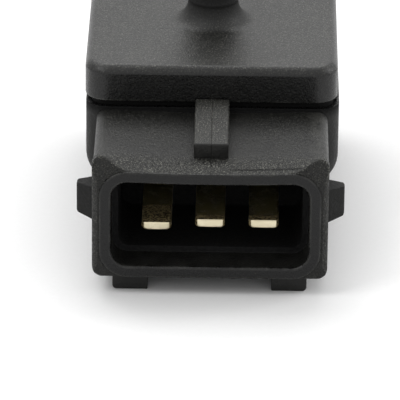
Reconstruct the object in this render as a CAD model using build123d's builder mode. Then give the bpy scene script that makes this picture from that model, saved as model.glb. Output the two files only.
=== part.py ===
from build123d import *
import os
from math import cos, radians, sin

# Manifold absolute pressure sensor, in millimetres.
# The connector opens towards -Y and the hose nipple points up. The origin is the middle of the
# footprint, on the surface that the two rails under the connector stand on.
# Depths are measured behind the rim of the connector, levels above the underside of its shroud.

# Blade terminals: 2.8 x 0.8 mm on a 5 mm pitch
pin_count = 3
pin_pitch = 5.0
pin_width = 2.8
pin_thickness = 0.8
pin_setback = 1.2          # tips behind the rim
pin_level = 5.1            # middle of the blades
pin_tip_corner = 0.5       # round corners of the tip, seen from above
pin_tip_bevel = 0.1        # lead-in above and below the tip
pin_neck_width = 1.9       # narrow stretch that the plastic locks round
pin_neck_margin = 0.6      # plastic before and behind the neck
pin_pad_length = 2.2       # flat end that shows in the chamber floor
pin_bend_length = 3.2      # tip of the first blade that is bent down
pin_bend_angle = 6.4
insert_clearance = 0.02    # between a moulded-in blade and the plastic

# Connector shroud
shroud_width = 22.03
shroud_height = 11.13      # up to the body's rim
shroud_length = 14.2
shroud_corner = 1.0
mouth_width = 18.45
mouth_sag = 0.2            # dip of the mouth's top wall at mid width
mouth_corner = 1.6
floor_wall = 1.12          # wall under the mouth
collar_wall = 1.12         # collar round the mouth
collar_drop = 0.29         # from the body's rim down to the collar and the shroud's roof
collar_proud = 0.15        # collar in front of the shroud's face
collar_round = 0.12        # inner and outer edge of the collar
pocket_depth = 3.4         # where the mating seal sits
pocket_shoulder = 0.58
cavity_depth = 12.65
post_rise = 1.22           # front corner posts, above the body's rim
post_width = 1.25          # at the crest
post_slant = 2.1           # width of the slope from the crest in to the roof
post_blend = 2.2
post_length = 0.7          # level crest of the posts
post_slope = 2.0           # length of the slope behind it, down to the roof

# Latch ears on the sides
ear_reach = 1.53
ear_level = 6.35           # middle of the ears
ear_height = 3.35
ear_setback = 2.6
ear_root = 2.6             # length along the shroud, at the root
ear_front_slant = 1.04
ear_rear_slant = 0.7
ear_under_slant = 0.33
ear_round = 0.25

# Latch nose on top
nose_width = 3.1
nose_height = 1.0
nose_setback = 3.7
nose_round = 0.15
nose_gap = 0.05            # from the nose to the lid's face

# Rails that the sensor stands on
rail_inner = 5.8           # from the middle plane
rail_width = 3.32
rail_height = 1.8
rail_setback = 1.2
rail_rear = 1.0            # end of the rails before the rear face
rail_round = 0.4

# Body of the housing, with the chamber for the circuit
body_width = 24.2
body_length = 25.1
body_corner = 2.0
body_wall = 2.0
rim_level = 4.55           # where the wide rim starts to taper down to the tub
tub_inset = 2.4
tub_blend = 3.0
tub_corner = 1.0
tub_rear_corner = 1.2
groove_inset = 0.55
groove_width = 0.9
groove_depth = 1.3

# Lid with the hose nipple
lid_height = 3.5
lid_inset = 0.05           # all round, from the housing's rim
lid_lift = 0.58            # open joint between the housing and the lid
lid_corner = 2.3
lid_edge = 0.7
lid_wall = 1.75
lid_roof = 1.6
tongue_width = 0.5
tongue_gap = 0.3           # adhesive under the tongue
nipple_radius = 2.42
nipple_height = 10.6
nipple_flare = 1.7         # width of the flare at the nipple's foot
nipple_flare_height = 2.1
nipple_step = 0.06         # small step on top of the flare
nipple_step_height = 0.35
nipple_bore = 1.0
barb_radius = 2.8
barb_level = 6.6           # foot of the barb above the lid
barb_rise = 0.7
barb_land = 0.6
tip_radius = 2.0
tip_bevel = 0.25

# Circuit in the chamber
pad_size = 0.2             # thickness of the adhesive under the board
pad_margin = 1.2
board_thickness = 0.635
board_front_gap = 0.7      # from the blades' pads to the board
board_side_gap = 1.5       # from the chamber's walls to the board
board_rear_gap = 1.4
cell_size = 2.6
cell_base_height = 1.0
die_height = 0.5
die_cavity = 1.5
die_cavity_depth = 0.4
die_cavity_draft = 25.0
dam_size = 7.2
dam_wall = 0.8
dam_height = 2.3
dam_corner = 1.4
gel_drop = 0.25            # gel surface below the dam's edge
chip_size = 3.4
chip_height = 0.9
chip_round = 0.3
chip_gap = 0.6             # from the dam
capacitor_length = 2.0
capacitor_width = 1.25
capacitor_height = 0.9
capacitor_cap = 0.35
capacitor_cap_step = 0.04
capacitor_gap = 1.6        # from the dam
capacitor_margin = 0.8     # from the rear edge of the board
capacitor_pitch = 2.4
capacitor_count = 4
resistor_length = 1.6
resistor_width = 0.8
resistor_height = 0.45
resistor_pitch = 2.4
resistor_depth = 1.6       # in front of the rear edge of the board
resistor_count = 3
ribbon_width = 0.8
ribbon_thickness = 0.15
ribbon_rise = 1.3          # over the board
ribbon_bend = 0.6
ribbon_landing = 0.5       # behind the front edge of the board

# Levels and depths that follow from the sizes above
overall_length = shroud_length + body_length
front = -overall_length / 2
base = rail_height
shroud_top = base + shroud_height
post_top = shroud_top + post_rise
collar_top = shroud_top - collar_drop
mouth_bottom = base + floor_wall
mouth_top = collar_top - collar_wall
body_middle = front + shroud_length + body_length / 2
lid_bottom = shroud_top + lid_lift
lid_top = lid_bottom + lid_height
pin_z = base + pin_level
chamber_floor = pin_z + pin_thickness / 2
pad_end = front + shroud_length + body_wall + pin_pad_length
board_width = body_width - 2 * (body_wall + board_side_gap)
board_length = body_length - 2 * body_wall - pin_pad_length - board_front_gap - board_rear_gap
board_front = pad_end + board_front_gap
board_bottom = chamber_floor + pad_size
board_top = board_bottom + board_thickness
nipple_y = body_middle
pin_places = [(place - (pin_count - 1) / 2) * pin_pitch for place in range(pin_count)]


def at_depth(depth):
    """Upright plane that faces -Y, at a depth behind the rim: its x is X and its y is Z."""
    return Plane.XZ.offset(-(front + depth))


def mouth_outline(inset=0.0):
    """Face of the mouth: a rounded rectangle whose top edge dips at mid width."""
    half = mouth_width / 2
    with BuildSketch() as outline:
        with BuildLine():
            Polyline((-half, mouth_top), (-half, mouth_bottom), (half, mouth_bottom), (half, mouth_top))
            ThreePointArc((half, mouth_top), (0, mouth_top - mouth_sag), (-half, mouth_top))
        make_face()
        fillet(outline.vertices(), mouth_corner)
        if inset:
            offset(amount=-inset)
    return outline.sketch


def ring_sketch(width, length, corner, middle, inset, thickness):
    """Rounded frame, a given distance inside a rounded rectangle and a given thickness wide."""
    with BuildSketch() as ring:
        with Locations((0, middle)):
            RectangleRounded(width - 2 * inset, length - 2 * inset, corner - inset)
            inner = inset + thickness
            RectangleRounded(width - 2 * inner, length - 2 * inner, corner - inner, mode=Mode.SUBTRACT)
    return ring.sketch


def terminal_outline(place, extra=0.0):
    """Plan of a blade: a tip with round corners, a neck in the wall, and a pad in the chamber."""
    half = pin_width / 2 + extra
    neck = pin_neck_width / 2 + extra
    tip = front + pin_setback - extra
    neck_front = front + cavity_depth + pin_neck_margin + extra
    neck_rear = front + shroud_length + body_wall - pin_neck_margin - extra
    rear = pad_end + extra
    right = [(half, tip), (half, neck_front), (neck, neck_front),
             (neck, neck_rear), (half, neck_rear), (half, rear)]
    left = [(-x, y) for x, y in reversed(right)]
    with BuildSketch() as outline:
        with Locations((place, 0)):
            Polygon(*right, *left, align=None)
        fillet(outline.vertices().group_by(Axis.Y)[0], pin_tip_corner)
    return outline.sketch


# Body of the housing: a wide rim that tapers down to a narrower tub
with BuildPart() as rim_form:
    with BuildSketch(Plane.XY.offset(base)):
        with Locations((0, body_middle)):
            RectangleRounded(body_width, body_length, body_corner)
    extrude(amount=shroud_height)
    with BuildSketch(at_depth(shroud_length)) as cross_section:
        wide, narrow = body_width / 2, body_width / 2 - tub_inset
        taper_top = base + rim_level
        side = [(wide, shroud_top), (wide, taper_top), (narrow, taper_top - tub_inset)]
        Polygon(*side, *[(-x, z) for x, z in reversed(side)], align=None)
        fillet(cross_section.vertices().group_by(Axis.Y)[1], tub_blend)
    extrude(amount=-body_length, mode=Mode.INTERSECT)

with BuildPart() as tub_form:
    tub_length = body_length + tub_rear_corner
    with BuildSketch(Plane.XY.offset(base)):
        with Locations((0, front + overall_length - tub_length / 2)):
            RectangleRounded(2 * narrow, tub_length, tub_rear_corner)
    extrude(amount=rim_level)
    fillet(tub_form.edges().group_by(Axis.Z)[0], tub_corner)

# One latch ear, on the right side: a wedge in plan and in front view
with BuildPart() as ear_form:
    with BuildSketch(Plane.XY.offset(base + ear_level - ear_height / 2)):
        root, tip = shroud_width / 2, shroud_width / 2 + ear_reach
        near, far = front + ear_setback, front + ear_setback + ear_root
        Polygon((0, near), (root, near), (tip, near + ear_front_slant), (tip, far - ear_rear_slant),
                (root, far), (0, far), align=None)
    extrude(amount=ear_height)
    with BuildSketch(at_depth(ear_setback)) as ear_face:
        low, high = base + ear_level - ear_height / 2, base + ear_level + ear_height / 2
        Polygon((0, low), (root, low), (tip, low + ear_under_slant), (tip, high), (0, high), align=None)
        fillet(ear_face.vertices().sort_by(Axis.X)[-2:], ear_round)
    extrude(amount=-ear_root, mode=Mode.INTERSECT)

# Front frame of the shroud, whose upper corners are the posts on both sides of the roof
with BuildPart() as front_frame:
    with BuildSketch(at_depth(collar_proud)):
        with Locations((0, (base + post_top) / 2)):
            RectangleRounded(shroud_width, post_top - base, shroud_corner)
    extrude(amount=-(post_length + post_slope))
    with BuildSketch(Plane.YZ):
        frame_front = front + collar_proud
        crest_end, frame_end = frame_front + post_length, frame_front + post_length + post_slope
        Polygon((frame_front, base), (frame_end, base), (frame_end, collar_top), (crest_end, post_top),
                (frame_front, post_top), align=None)
    extrude(amount=shroud_width / 2, both=True, mode=Mode.INTERSECT)

# Housing: shroud, body, ears, nose and rails in one moulding
with BuildPart() as housing:
    with BuildSketch(at_depth(collar_proud)):
        with Locations((0, (base + collar_top) / 2)):
            RectangleRounded(shroud_width, collar_top - base, shroud_corner)
    extrude(amount=-(shroud_length + body_wall / 2 - collar_proud))
    add(front_frame.part)

    # Roof between the posts, level from front to rear, with the same dip as the mouth
    with BuildSketch(at_depth(collar_proud)) as above_roof:
        crest = shroud_width / 2 - post_width
        foot, post_height = crest - post_slant, post_top - collar_top
        with BuildLine():
            Polyline((-foot, collar_top), (-crest - post_slant, post_top + post_height),
                     (crest + post_slant, post_top + post_height), (foot, collar_top))
            ThreePointArc((foot, collar_top), (0, collar_top - mouth_sag), (-foot, collar_top))
        make_face()
        fillet(above_roof.vertices().group_by(Axis.Y)[0], post_blend)
    extrude(amount=-(shroud_length - collar_proud), mode=Mode.SUBTRACT)

    add(rim_form.part)
    add(tub_form.part)
    add(ear_form.part)
    mirror(ear_form.part, about=Plane.YZ)

    # Collar round the mouth, then the pocket for the seal and the deep cavity with the blades
    with BuildSketch(at_depth(0)):
        add(offset(mouth_outline(), amount=collar_wall, mode=Mode.PRIVATE))
    extrude(amount=-pocket_depth)
    with BuildSketch(at_depth(0)):
        add(mouth_outline())
    extrude(amount=-pocket_depth, mode=Mode.SUBTRACT)
    fillet(housing.faces().sort_by(Axis.Y)[0].edges(), collar_round)
    with BuildSketch(at_depth(0)):
        add(mouth_outline(pocket_shoulder))
    extrude(amount=-cavity_depth, mode=Mode.SUBTRACT)

    # Latch nose on the roof, back to the lid
    with BuildSketch(Plane.YZ) as nose_side:
        nose_front, nose_rear = front + nose_setback, front + shroud_length - nose_gap
        nose_top = shroud_top + nose_height
        nose_foot = mouth_top + collar_wall / 2
        Polygon((nose_front, nose_foot), (nose_rear, nose_foot), (nose_rear, nose_top),
                (nose_front, nose_top), align=None)
        fillet(nose_side.vertices().group_by(Axis.Y)[-1].sort_by(Axis.X)[0], nose_round)
    extrude(amount=nose_width / 2, both=True)

    # Rails under the shroud and the body
    with BuildSketch(Plane.XZ.offset(-(front + rail_setback))) as rail_ends:
        for hand in (1, -1):
            with Locations((hand * (rail_inner + rail_width / 2), (base + floor_wall / 2) / 2)):
                Rectangle(rail_width, base + floor_wall / 2)
        bottom_corners = rail_ends.vertices().group_by(Axis.Y)[0].sort_by(Axis.X)
        fillet([bottom_corners[0], bottom_corners[-1]], rail_round)
    extrude(amount=-(overall_length - rail_setback - rail_rear))

    # Chamber, adhesive groove and slots of the blades
    with BuildSketch(Plane.XY.offset(chamber_floor)):
        with Locations((0, body_middle)):
            RectangleRounded(body_width - 2 * body_wall, body_length - 2 * body_wall, body_corner / 2)
    extrude(amount=shroud_top - chamber_floor, mode=Mode.SUBTRACT)
    with BuildSketch(Plane.XY.offset(shroud_top)):
        add(ring_sketch(body_width, body_length, body_corner, body_middle, groove_inset, groove_width))
    extrude(amount=-groove_depth, mode=Mode.SUBTRACT)
    with BuildSketch(Plane.XY.offset(pin_z - pin_thickness / 2 - insert_clearance)):
        for place in pin_places:
            add(terminal_outline(place, insert_clearance))
    extrude(amount=pin_thickness + 2 * insert_clearance, mode=Mode.SUBTRACT)
housing.part.label = "housing"

# Lid: a hollow cap with a tongue, and the hose nipple moulded on it
with BuildPart() as lid:
    with BuildSketch(Plane.XY.offset(lid_bottom)):
        with Locations((0, body_middle)):
            RectangleRounded(body_width - 2 * lid_inset, body_length - 2 * lid_inset, lid_corner)
    extrude(amount=lid_height)
    fillet(lid.edges().group_by(Axis.Z)[-1], lid_edge)
    with BuildSketch(Plane.XY.offset(lid_bottom)):
        with Locations((0, body_middle)):
            RectangleRounded(body_width - 2 * lid_wall, body_length - 2 * lid_wall, lid_corner / 2)
    extrude(amount=lid_height - lid_roof, mode=Mode.SUBTRACT)
    with BuildSketch(Plane.XY.offset(lid_bottom)):
        tongue_inset = groove_inset + (groove_width - tongue_width) / 2
        add(ring_sketch(body_width, body_length, body_corner, body_middle, tongue_inset, tongue_width))
    extrude(amount=-(lid_lift + groove_depth - tongue_gap))
    with BuildSketch(Plane.XZ.offset(-nipple_y)):
        flare_top = lid_top + nipple_flare_height
        step_top = flare_top + nipple_step_height
        barb_foot = lid_top + barb_level
        barb_top = barb_foot + barb_rise
        tip_top = lid_top + nipple_height
        with BuildLine():
            Polyline((nipple_radius + nipple_flare, lid_top),
                     (nipple_radius + nipple_flare, lid_top - lid_roof), (nipple_bore, lid_top - lid_roof),
                     (nipple_bore, tip_top), (tip_radius - tip_bevel, tip_top))
            Polyline((tip_radius - tip_bevel, tip_top), (tip_radius, tip_top - tip_bevel),
                     (barb_radius, barb_top + barb_land), (barb_radius, barb_top), (nipple_radius, barb_foot),
                     (nipple_radius, step_top), (nipple_radius + nipple_step, flare_top))
            RadiusArc((nipple_radius + nipple_step, flare_top), (nipple_radius + nipple_flare, lid_top),
                      -nipple_flare_height)
        make_face()
    revolve(axis=Axis((0, nipple_y, 0), (0, 0, 1)))
    with Locations((0, nipple_y, lid_top)):
        Cylinder(nipple_bore, 4 * lid_roof, mode=Mode.SUBTRACT)
lid.part.label = "lid"

# Adhesive bead that fills the groove round the lid's tongue, up to the lid
with BuildPart() as lid_adhesive:
    with BuildSketch(Plane.XY.offset(shroud_top - groove_depth)):
        add(ring_sketch(body_width, body_length, body_corner, body_middle, groove_inset, groove_width))
    extrude(amount=groove_depth + lid_lift)
    with BuildSketch(Plane.XY.offset(shroud_top - groove_depth + tongue_gap)):
        add(ring_sketch(body_width, body_length, body_corner, body_middle, tongue_inset, tongue_width))
    extrude(amount=groove_depth + lid_lift - tongue_gap, mode=Mode.SUBTRACT)
lid_adhesive.part.label = "lid_adhesive"

# Blade terminals; the tip of the first one is bent down
terminals = []
for number, place in enumerate(pin_places, 1):
    bend = pin_bend_angle if number == 1 else 0.0
    knee = front + pin_setback + pin_bend_length
    reach, drop = pin_bend_length * cos(radians(bend)), pin_bend_length * sin(radians(bend))
    tip = Vector(knee - reach, pin_z - drop)
    along = Vector(cos(radians(bend)), sin(radians(bend)))
    across = Vector(-along.Y, along.X)
    half = pin_thickness / 2
    with BuildPart() as terminal:
        with BuildSketch(Plane.XY.offset(pin_z)):
            add(terminal_outline(place))
        extrude(amount=2 * pin_thickness, both=True)
        with BuildSketch(Plane.YZ):
            under = [tip + along * pin_tip_bevel - across * half, Vector(knee, pin_z - half),
                     Vector(pad_end, pin_z - half)]
            over = [Vector(pad_end, pin_z + half), Vector(knee, pin_z + half),
                    tip + along * pin_tip_bevel + across * half]
            end = [tip + across * (half - pin_tip_bevel), tip - across * (half - pin_tip_bevel)]
            Polygon(*[(point.X, point.Y) for point in under + over + end], align=None)
        extrude(amount=shroud_width, both=True, mode=Mode.INTERSECT)
    terminal.part.label = f"terminal_{number}"
    terminals.append(terminal.part)

# Ceramic circuit board on its adhesive pad
board_middle = board_front + board_length / 2
with BuildPart() as board_adhesive:
    with BuildSketch(Plane.XY.offset(chamber_floor)):
        with Locations((0, board_middle)):
            RectangleRounded(board_width - 2 * pad_margin, board_length - 2 * pad_margin, pad_margin)
    extrude(amount=pad_size)
board_adhesive.part.label = "board_adhesive"

with BuildPart() as circuit_board:
    with BuildSketch(Plane.XY.offset(board_bottom)):
        with Locations((0, board_middle)):
            Rectangle(board_width, board_length)
    extrude(amount=board_thickness)
circuit_board.part.label = "circuit_board"

# Pressure cell under the nipple: glass base and silicon die with its etched vacuum cavity
with BuildPart() as cell_base:
    with BuildSketch(Plane.XY.offset(board_top)):
        with Locations((0, nipple_y)):
            Rectangle(cell_size, cell_size)
    extrude(amount=cell_base_height)
cell_base.part.label = "cell_base"

die_bottom = board_top + cell_base_height
with BuildPart() as sensor_die:
    with BuildSketch(Plane.XY.offset(die_bottom)):
        with Locations((0, nipple_y)):
            Rectangle(cell_size, cell_size)
    extrude(amount=die_height)
    with BuildSketch(Plane.XY.offset(die_bottom)):
        with Locations((0, nipple_y)):
            Rectangle(die_cavity, die_cavity)
    extrude(amount=die_cavity_depth, taper=die_cavity_draft, mode=Mode.SUBTRACT)
sensor_die.part.label = "sensor_die"

# Dam round the cell, and the soft gel that covers the die
with BuildPart() as gel_dam:
    with BuildSketch(Plane.XY.offset(board_top)):
        add(ring_sketch(dam_size, dam_size, dam_corner, nipple_y, 0, dam_wall))
    extrude(amount=dam_height)
gel_dam.part.label = "gel_dam"

with BuildPart() as protective_gel:
    with BuildSketch(Plane.XY.offset(board_top)):
        with Locations((0, nipple_y)):
            RectangleRounded(dam_size - 2 * dam_wall, dam_size - 2 * dam_wall, dam_corner - dam_wall)
            Rectangle(cell_size, cell_size, mode=Mode.SUBTRACT)
    extrude(amount=dam_height - gel_drop)
    with BuildSketch(Plane.XY.offset(die_bottom + die_height)):
        with Locations((0, nipple_y)):
            Rectangle(cell_size, cell_size)
    extrude(amount=dam_height - gel_drop - cell_base_height - die_height)
protective_gel.part.label = "protective_gel"

# Signal chip on the right of the cell
with BuildPart() as signal_chip:
    with BuildSketch(Plane.XY.offset(board_top)):
        with Locations((dam_size / 2 + chip_gap + chip_size / 2, nipple_y)):
            Rectangle(chip_size, chip_size)
    extrude(amount=chip_height)
    chamfer(signal_chip.edges().group_by(Axis.Z)[-1], chip_round)
signal_chip.part.label = "signal_chip"

# Chip capacitors on the left: a body with thicker metal caps at both ends
capacitors = []
capacitor_x = -(dam_size / 2 + capacitor_gap + capacitor_length / 2)
last_row = board_front + board_length - capacitor_margin - capacitor_width / 2
for number in range(1, capacitor_count + 1):
    row = last_row - (capacitor_count - number) * capacitor_pitch
    with BuildPart() as capacitor:
        with BuildSketch(Plane.XY.offset(board_top)):
            with Locations((capacitor_x, row)):
                Rectangle(capacitor_length, capacitor_width)
        extrude(amount=capacitor_height)
        with BuildSketch(Plane.XY.offset(board_top)):
            for hand in (1, -1):
                with Locations((capacitor_x + hand * (capacitor_length - capacitor_cap) / 2, row)):
                    Rectangle(capacitor_cap, capacitor_width + 2 * capacitor_cap_step)
        extrude(amount=capacitor_height + capacitor_cap_step)
    capacitor.part.label = f"capacitor_{number}"
    capacitors.append(capacitor.part)

# Chip resistors in a row along the rear edge of the board
resistors = []
for number in range(1, resistor_count + 1):
    column = (number - (resistor_count + 1) / 2) * resistor_pitch
    with BuildPart() as resistor:
        with BuildSketch(Plane.XY.offset(board_top)):
            with Locations((column, board_front + board_length - resistor_depth)):
                Rectangle(resistor_length, resistor_width)
        extrude(amount=resistor_height)
    resistor.part.label = f"resistor_{number}"
    resistors.append(resistor.part)

# Bond ribbons that arch from the blades' pads over to the front edge of the board
ribbons = []
for number, place in enumerate(pin_places, 1):
    start, landing = pad_end - pin_pad_length / 2, board_front + ribbon_landing
    crown, half = board_top + ribbon_rise, ribbon_thickness / 2
    with BuildPart() as ribbon:
        with BuildSketch(Plane.YZ.offset(place - ribbon_width / 2)):
            with BuildLine():
                over = FilletPolyline((start - half, chamber_floor), (start - half, crown + half),
                                      (landing + half, crown + half), (landing + half, board_top),
                                      radius=ribbon_bend + half)
                under = FilletPolyline((landing - half, board_top), (landing - half, crown - half),
                                       (start + half, crown - half), (start + half, chamber_floor),
                                       radius=ribbon_bend - half)
                Line(over @ 1, under @ 0)
                Line(under @ 1, over @ 0)
            make_face()
        extrude(amount=ribbon_width)
    ribbon.part.label = f"bond_ribbon_{number}"
    ribbons.append(ribbon.part)

os.makedirs("parts", exist_ok=True)
single_pieces = [housing, lid, lid_adhesive, board_adhesive, circuit_board, cell_base, sensor_die, gel_dam,
                 protective_gel, signal_chip]
for piece in [builder.part for builder in single_pieces] + terminals + capacitors + resistors + ribbons:
    export_step(piece, f"parts/{piece.label}.step")
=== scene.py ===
"""Looks of a manifold absolute pressure sensor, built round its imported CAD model.

All lengths are written in millimetres in the part's own frame: X to the right, -Y out of the
connector's mouth, Z up along the hose nipple, with the origin on the surface that the rails stand on.
Meshes get them in metres.
"""
import logging
import math
from dataclasses import dataclass, field
from enum import Enum

import bpy
import numpy as np
from mathutils import Matrix, Vector

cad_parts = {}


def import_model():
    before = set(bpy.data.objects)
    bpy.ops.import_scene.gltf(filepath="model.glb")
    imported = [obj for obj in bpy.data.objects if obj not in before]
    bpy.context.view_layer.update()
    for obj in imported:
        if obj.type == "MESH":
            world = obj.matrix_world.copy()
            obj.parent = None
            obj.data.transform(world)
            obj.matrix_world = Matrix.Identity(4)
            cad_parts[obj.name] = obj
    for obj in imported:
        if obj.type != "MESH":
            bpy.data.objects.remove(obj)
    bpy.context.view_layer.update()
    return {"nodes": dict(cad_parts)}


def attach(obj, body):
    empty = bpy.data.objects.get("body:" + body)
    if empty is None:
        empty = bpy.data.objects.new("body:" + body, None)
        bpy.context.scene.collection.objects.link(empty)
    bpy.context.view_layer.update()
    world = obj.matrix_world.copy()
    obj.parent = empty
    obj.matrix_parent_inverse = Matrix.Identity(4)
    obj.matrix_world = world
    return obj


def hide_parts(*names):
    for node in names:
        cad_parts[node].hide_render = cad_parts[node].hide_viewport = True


LOG = logging.getLogger("pressure_sensor")
MM = 0.001
Object, Material, Tree, Socket = bpy.types.Object, bpy.types.Material, bpy.types.NodeTree, bpy.types.NodeSocket
# How the mould's finish, later wear, and painted highlights, glints and shade vary over a piece, each from 0 to 1, kept
# as attributes of its points
MARKS = ("polish", "coarse", "wear_and_highlight", "dull", "specks_and_glints")


class Grain(Enum):
    """Spacing of the matt grain that a spark-eroded mould leaves, in mm."""

    LID = 0.16
    HOUSING = 0.2


class Hand(Enum):
    """Side of the middle plane that a mirrored feature stands on."""

    RIGHT = 1
    LEFT = -1


@dataclass(frozen=True)
class Levels:
    """Heights and depths that the sub-assemblies share, as the CAD model has them, in mm."""

    front: float = -19.65
    rear: float = 19.65
    base: float = 1.8
    rim_top: float = 12.93
    post_top: float = 14.15
    lid_bottom: float = 13.51
    lid_top: float = 17.01
    body_front: float = -5.45
    axis_y: float = 7.1
    blade_z: float = 6.9
    chamber_floor: float = 7.3


@dataclass(frozen=True)
class Sheet:
    """A surface worked out on a grid: one row of points for each station along it.

    Attributes:
        points: Rows by columns by three, in mm. The columns run round a closed loop.
        ring: True where the last row joins the first, as on a lid that is hollow and open below.
        marks: For some of the MARKS, a value for each row or each point: polish where the mould was
            polished, coarse where it was eroded coarsely, wear_and_highlight on rubbed edges and as painted
            highlights and painted light, dull as painted shade that is also rougher, and specks_and_glints
            where the fibres show as white specks, along with painted glints.
    """

    points: np.ndarray
    ring: bool = False
    marks: dict[str, np.ndarray] = field(default_factory=dict)


def held(value: np.ndarray | float, length: np.ndarray | float = 1.0) -> np.ndarray:
    """Share of a length that a value has covered, held between 0 and 1."""
    return np.clip(value / length, 0.0, 1.0)


def smooth_least(first: np.ndarray, second: np.ndarray, blend: float) -> np.ndarray:
    """The lesser of two heights, with their crossing rounded off.

    Formula: within the blend, h runs from 0 to 1 with the difference of the two, and blend x h x (1 - h)
    is taken off the straight mix of them.

    Args:
        first: Heights of the first surface.
        second: Heights of the second surface.
        blend: Difference in height over which the crossing is rounded.

    Returns:
        Heights of the blended surface.
    """
    share = held(0.5 + 0.5 * (second - first) / blend)
    return second + (first - second) * share - blend * share * (1.0 - share)


def rounding(radius: float, count: int) -> list[tuple[float, float]]:
    """Steps of a rounded edge, each radius x (1 - sin a) and radius x (1 - cos a), for a from 0 to 90 degrees."""
    turns = np.linspace(0.0, math.pi / 2, count)
    return [(radius * (1.0 - math.sin(turn)), radius * (1.0 - math.cos(turn))) for turn in turns]


def flattened_rounding(radius: np.ndarray | float, count: int, flatness: np.ndarray | float) -> list[tuple]:
    """Steps of a rounded edge, part way from the quarter circle towards the straight line across it.

    Formula: flatness x the line's step + (1 - flatness) x the circle's, as in rounding.

    Args:
        radius: Radius, for all points or for each.
        count: Number of steps.
        flatness: 0 for the quarter circle and 1 for the straight line.

    Returns:
        For each step, what is left along the first direction and what is drawn in along the second.
    """
    return [(radius * (left * (1.0 - flatness) + (1.0 - share) * flatness),
             radius * (inwards * (1.0 - flatness) + share * flatness))
            for share, (left, inwards) in zip(np.linspace(0.0, 1.0, count), rounding(1.0, count))]


def join_stretches(stretches: list[np.ndarray], edges: tuple[int, int]) -> np.ndarray:
    """Closed loop of four corner stretches, with points on the straight runs before each.

    Args:
        stretches: Points of each corner.
        edges: Points on a level and on an upright run.

    Returns:
        Points by two.
    """
    runs = []
    for place, stretch in enumerate(stretches):
        start = stretches[place - 1][-1]
        share = np.linspace(0.0, 1.0, edges[place % 2] + 2)[1:-1, None]
        runs += [start + (stretch[0] - start) * share, stretch]
    return np.concatenate(runs)


def rounded_loop(low: tuple[float, float], high: tuple[float, float], radii: tuple[float, float, float, float],
                 edges: tuple[int, int], per_corner: int = 9) -> np.ndarray:
    """Closed loop round a rectangle with rounded corners, counter-clockwise from its lower left.

    Formula: each corner is a quarter circle, centre + radius x (cos a, sin a), and each side is a
    straight run between two corners, so loops with equal counts match point for point.

    Args:
        low: Lowest coordinates.
        high: Highest coordinates.
        radii: Radius at the lower right, upper right, upper left and lower left corner.
        edges: Points along a level side and along an upright side.
        per_corner: Points along each corner.

    Returns:
        Points by two.
    """
    (left, bottom), (right, top) = low, high
    centres = np.array([(right - radii[0], bottom + radii[0]), (right - radii[1], top - radii[1]),
                        (left + radii[2], top - radii[2]), (left + radii[3], bottom + radii[3])])
    angles = np.radians([-90.0, 0.0, 90.0, 180.0])[:, None] + np.linspace(0.0, math.pi / 2, per_corner)
    arcs = np.array(radii)[:, None, None] * np.stack([np.cos(angles), np.sin(angles)], axis=-1)
    return join_stretches(list(centres[:, None, :] + arcs), edges)


def inset_loop(loop: np.ndarray, amount: np.ndarray) -> np.ndarray:
    """Loop moved inwards, square to its own line.

    Formula: the inward direction at a point is the line from its neighbour behind to its neighbour
    in front, turned a quarter turn to the left and scaled to one.

    Args:
        loop: Points by two, counter-clockwise.
        amount: Distance inwards for each point.

    Returns:
        Points by two.
    """
    along = np.roll(loop, -1, axis=0) - np.roll(loop, 1, axis=0)
    inward = np.stack([-along[:, 1], along[:, 0]], axis=1)
    inward /= np.maximum(np.linalg.norm(inward, axis=1, keepdims=True), 1e-9)
    return loop + inward * amount[:, None]


def between(first: np.ndarray, last: np.ndarray, shares: tuple[float, ...]) -> list[np.ndarray]:
    """Rows that lie on straight lines between two matching rows, at the given shares of the way."""
    return [first + (last - first) * share for share in shares]


def upright_row(loop: np.ndarray, depth: np.ndarray | float) -> np.ndarray:
    """Row of points in space from a loop of X and Z, at one Y or at a Y for each point."""
    return np.stack([loop[:, 0], np.broadcast_to(depth, len(loop)), loop[:, 1]], axis=1)


def level_row(loop: np.ndarray, level: float) -> np.ndarray:
    """Row of points in space from a loop of X and Y, at one Z."""
    return np.stack([loop[:, 0], loop[:, 1], np.full(len(loop), level)], axis=1)


def sheet_faces(rows: int, columns: int, ring: bool) -> tuple[np.ndarray, np.ndarray]:
    """Corner numbers of a sheet's four-sided faces, and of the fans that close its ends.

    Args:
        rows: Rows of the sheet.
        columns: Columns of the sheet.
        ring: True where the last row joins the first, so that there are no ends.

    Returns:
        Faces by four, and fan faces by three. The fans use the two points after the grid's.
    """
    number = np.arange(rows * columns).reshape(rows, columns)
    near, far = (number, np.roll(number, -1, axis=0)) if ring else (number[:-1], number[1:])
    quads = np.stack([near, np.roll(near, -1, axis=1), np.roll(far, -1, axis=1), far], axis=-1).reshape(-1, 4)
    if ring:
        return quads, np.zeros((0, 3), int)
    first, last = number[0], number[-1]
    start, end = np.full(columns, rows * columns), np.full(columns, rows * columns + 1)
    return quads, np.concatenate([np.stack([np.roll(first, -1), first, start], axis=1),
                                  np.stack([last, np.roll(last, -1), end], axis=1)])


def enclosed_volume(points: np.ndarray, triangles: np.ndarray) -> float:
    """Volume inside a closed surface: a sixth of the sum of each triangle's a . (b x c)."""
    a, b, c = (points[triangles[:, k]] for k in range(3))
    return float(np.einsum("ij,ij->i", a, np.cross(b, c)).sum() / 6.0)


def add_object(name: str, data: bpy.types.ID) -> Object:
    """Adds an object with the given data to the scene, at the origin.

    Args:
        name: Name of the object.
        data: Mesh, lamp or camera that it shows.

    Returns:
        The object.
    """
    added = bpy.data.objects.new(name, data)
    bpy.context.scene.collection.objects.link(added)
    return added


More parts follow.
